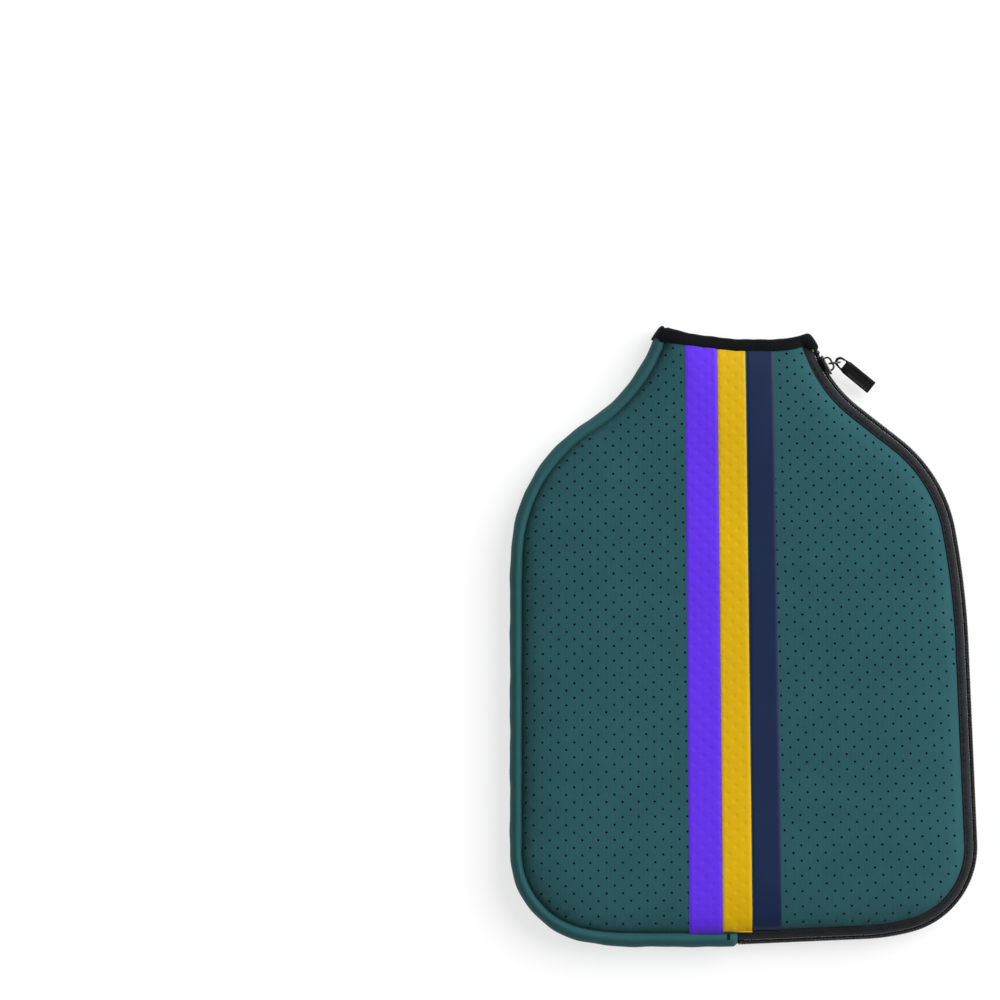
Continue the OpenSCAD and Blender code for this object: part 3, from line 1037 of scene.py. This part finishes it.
def block(name, corners, low, high, bevel, to_frame):
    """A plate cut from an outline in local axes, between two heights, with rounded edges."""
    bm = bmesh.new()
    bottom = [bm.verts.new((u * MM, v * MM, low * MM)) for u, v in corners]
    face = bm.faces.new(bottom)
    up = bmesh.ops.extrude_face_region(bm, geom=[face])
    bmesh.ops.translate(bm, verts=[g for g in up["geom"] if isinstance(g, bmesh.types.BMVert)],
                        vec=(0, 0, (high - low) * MM))
    bmesh.ops.recalc_face_normals(bm, faces=bm.faces)
    bmesh.ops.bevel(bm, geom=list(bm.edges), offset=bevel * MM, segments=3, profile=0.6,
                    affect="EDGES", clamp_overlap=True)
    mesh = bpy.data.meshes.new(name)
    bm.to_mesh(mesh)
    bm.free()
    mesh.transform(to_frame)
    mesh.materials.append(ENAMEL)
    mesh.shade_smooth()
    obj = bpy.data.objects.new(name, mesh)
    bpy.context.scene.collection.objects.link(obj)
    return obj


def slider():
    place, to_neck, out = slider_frame()
    up = np.array([0, 0, 1.0])
    to_frame = Matrix((to_neck, up, out)).transposed().to_4x4()
    to_frame.translation = Vector(place * MM)
    shield = [(-5, -2.7), (-4.2, -3.7), (0, -4.1), (3.6, -4.5), (5, -3.4)]
    shield += [(u, -v) for u, v in reversed(shield)]
    parts = [("slider_outer", shield, 0.4, 1.3, 0.3),
             ("slider_inner", [(u, v * 0.92) for u, v in shield], -4.6, -3.6, 0.3),
             ("slider_web", [(-2, -0.2), (3.9, -0.2), (3.9, 0.2), (-2, 0.2)], -3.8, 1.0, 0.05)]
    for side in (-1, 1):
        lip = [(-4.4, 3.3 * side), (4.6, 3.9 * side), (4.6, 4.5 * side), (-4.4, 4.0 * side)]
        parts.append((f"slider_lip_{side}", lip, -0.3, 1.0, 0.2))
    blocks = [block(*part, to_frame) for part in parts]
    finish_piece(joined("slider_shell", blocks), "slider", "slider_enamel", "slider_body")
    # The bridge is a bent strip: up from the plate, along, and down again
    line = []
    for k in range(21):
        t = k / 20
        a = math.pi * t
        u = 3.2 * math.copysign(abs(math.cos(a)) ** 0.55, math.cos(a))
        v = 1.0 + 2.75 * abs(math.sin(a)) ** 0.6
        line.append(place + u * to_neck + v * out)
    line = np.array(line)
    way = np.gradient(line, axis=0)
    way /= np.linalg.norm(way, axis=1)[:, None]
    flat = np.cross(way, up)
    profiles = []
    for p, f in zip(line, flat):
        ring = []
        for a in np.linspace(0, 2 * math.pi, 12, endpoint=False):
            c, s = math.cos(a), math.sin(a)
            ring.append(p + 0.5 * np.sign(c) * abs(c) ** 0.6 * f + 1.05 * np.sign(s) * abs(s) ** 0.6 * up)
        profiles.append(ring)
    bridge = sweep("slider_loop", profiles, ENAMEL)
    finish_piece(bridge, "slider", "slider_enamel", "slider_bridge")
    return place, out


RING_R = 2.6
RING_AIM = 7
TAB_AIM = -39
TAB_DROOP = 12


def ring_and_tab(place, out):
    window = place + (0.4 + 0.9 + 1.0) * out
    aim = np.array([math.cos(math.radians(RING_AIM)), math.sin(math.radians(RING_AIM)), 0])
    centre = window + RING_R * aim
    turn = np.linspace(0, 2 * math.pi, 41)
    loop = centre + RING_R * (np.cos(turn)[:, None] * aim + np.sin(turn)[:, None] * np.array([0, 0, 1.0]))
    across = np.cross(aim, np.array([0, 0, 1.0]))
    profiles = []
    for k in range(40):
        outward = (loop[k] - centre) / RING_R
        profiles.append([loop[k] + 0.5 * (math.cos(a) * outward + math.sin(a) * across)
                         for a in np.linspace(0, 2 * math.pi, 10, endpoint=False)])
    ring = sweep("pull_link", profiles, ENAMEL, endless=True)
    finish_piece(ring, "ring", "slider_enamel", "pull_ring")

    eye = window + 2 * RING_R * aim
    tab = tab_mesh()
    aimed = Matrix.Rotation(math.radians(TAB_AIM), 4, "Z")
    drooped = Matrix.Rotation(math.radians(TAB_DROOP), 4, "Y")
    tab.data.transform(Matrix.Translation(Vector(eye * MM)) @ (aimed @ drooped))
    finish_piece(tab, "tab", "pull_rubber", "pull_tab")


def tab_mesh():
    """A flat rubber tab with a round head, a D-shaped eye, a raised rim and a shallow panel."""
    half, length, head = 3.2, 19.5, 2.5
    outer = [(head * math.cos(a), head * math.sin(a)) for a in np.radians(np.linspace(110, 250, 11))]
    outer += [(2.6, -2.75), (4.2, -half), (length - 0.35, -half), (length, -half + 0.35),
              (length, half - 0.35), (length - 0.35, half), (4.2, half), (2.6, 2.75)]
    hole = [(1.45 * math.cos(a), 1.45 * math.sin(a)) for a in np.radians(np.linspace(120, 240, 7))]
    hole += [(1.9, -2.0), (2.4, -1.6), (2.4, 1.6), (1.9, 2.0)]
    outer, hole = np.array(outer), np.array(hole)
    grid = grid_points(outer, 0.8, 0.3)
    near_hole = edge_distance(grid, hole)
    grid = grid[(near_hole > 0.3) & ~inside(grid, hole)]
    co, tris, rim, rings = triangulate(outer, [hole], grid)
    far = np.minimum(edge_distance(co, outer), edge_distance(co, hole))
    panel = np.clip((far - 0.8) / 0.3, 0, 1) * np.clip((co[:, 0] - 5.4) / 0.5, 0, 1)
    rounding = np.sqrt(1 - (1 - np.clip(far / 0.6, 0, 1)) ** 2)
    z = 0.55 + 0.42 * rounding - 0.22 * panel * panel * (3 - 2 * panel)
    n = len(co)
    verts = np.concatenate([np.c_[co, z], np.c_[co, -z]])
    faces = [tuple(t) for t in tris] + [tuple(int(i) + n for i in reversed(t)) for t in tris]
    for ids in (rim, *rings):
        for k in range(len(ids)):
            a, b = ids[k], ids[(k + 1) % len(ids)]
            faces.append((a, b, b + n, a + n))
    return make("pull_tab_rubber", verts, faces, RUBBER)


# ---------------------------------------------------------------- stage, light and camera

# What the frame spans at the height of the case's edge, and the place under its middle
FRAME_WIDTH = 0.471
FRAME_MIDDLE = (-0.1147, 0.0643)
LENS = 400
STAGE_R = 8.0


def lit_paper(name, albedo, glow):
    """Plain white paper, partly lit from behind so that shadows on it stay pale."""
    return surface(name, (albedo, albedo, albedo, 1), 0.2, 0.005, Roughness=0.9, Emission_Color=(1, 1, 1, 1),
                   Emission_Strength=glow)[0]


def stage():
    """A round table top, and a white wall about it that only the camera sees."""
    sides = 96
    turn = np.linspace(0, 2 * math.pi, sides, endpoint=False)
    rim = STAGE_R * np.stack([np.cos(turn), np.sin(turn)], 1) / MM
    paper = lit_paper("floor_paper", 0.3, 0.7)
    make("floor", np.c_[rim, np.full(sides, -0.1)], [tuple(range(sides))], paper)
    verts = np.concatenate([np.c_[rim, np.full(sides, -0.2)], np.c_[rim, np.full(sides, 4000.0)]])
    quads = [(k, (k + 1) % sides, (k + 1) % sides + sides, k + sides) for k in range(sides)]
    wall = make("backdrop", verts, quads, lit_paper("backdrop_paper", 0.0, 1.0))
    wall.visible_diffuse = False
    wall.visible_glossy = False
    wall.visible_shadow = False


def sun(name, toward, strength, spread):
    """A soft light from far off; toward is where it stands, seen from the case."""
    data = bpy.data.lights.new(name, "SUN")
    data.energy = strength
    data.angle = math.radians(spread)
    obj = bpy.data.objects.new(name, data)
    bpy.context.scene.collection.objects.link(obj)
    obj.rotation_euler = Vector(toward).to_track_quat("Z", "Y").to_euler()


def camera():
    data = bpy.data.cameras.new("camera")
    data.lens = LENS
    data.sensor_width = 36
    data.clip_end = 50
    obj = bpy.data.objects.new("camera", data)
    bpy.context.scene.collection.objects.link(obj)
    obj.location = (*FRAME_MIDDLE, MID_Z * MM + FRAME_WIDTH * LENS / 36)
    bpy.context.scene.camera = obj


def world():
    w = bpy.data.worlds.new("studio")
    bpy.context.scene.world = w
    w.use_nodes = True
    background = w.node_tree.nodes["Background"]
    background.inputs["Color"].default_value = (1, 1, 1, 1)
    background.inputs["Strength"].default_value = 0.26
    bpy.context.scene.view_settings.view_transform = "Standard"


camera()
world()
stage()
sun("key", (0.85, 0.6, 0.85), 3.9, 50)
sun("fill", (-0.8, -0.3, 1.0), 0.2, 60)

front_panel()
back_panel()
linings()
stripes()
band()
folded_end()
bar_tack()
zip_all()
bindings()
ring_and_tab(*slider())
